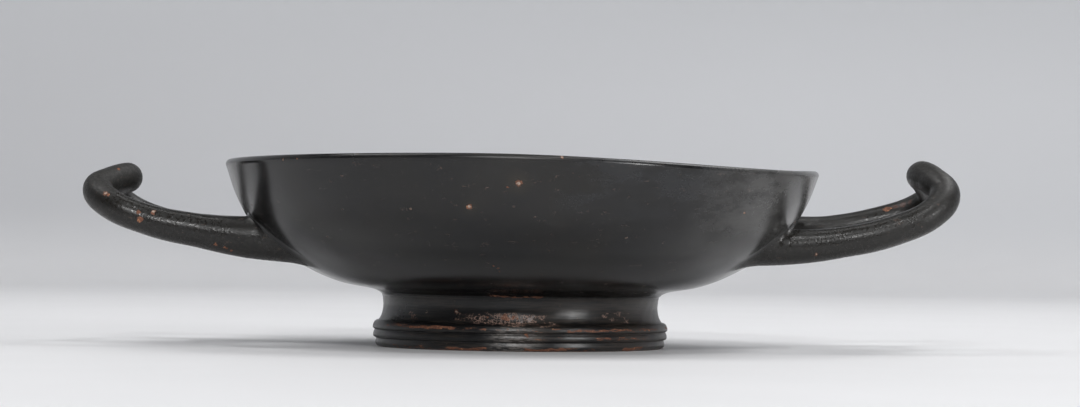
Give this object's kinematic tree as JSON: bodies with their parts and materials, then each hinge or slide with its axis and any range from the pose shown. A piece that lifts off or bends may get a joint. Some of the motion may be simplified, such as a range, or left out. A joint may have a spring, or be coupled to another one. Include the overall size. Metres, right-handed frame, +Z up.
{
  "type": "stemless drinking cup",
  "caption": "Shallow drinking cup of black-glazed fired clay with a wide bowl, recurved loop handles and a low moulded ring foot.",
  "frame": {"origin": "middle of the cup's bounding box, on the plane that the foot rests on", "axes": "+Z up out of the bowl; +X out along one handle; +Y across the handles"},
  "size_m": [0.256, 0.1752, 0.0564],
  "materials": {
    "black_glaze": "glossy black slip, worn through to orange clay on the mouldings and in small nicks"
  },
  "bodies": {
    "root": {"kylix": "black_glaze"}
  },
  "joints": []
}
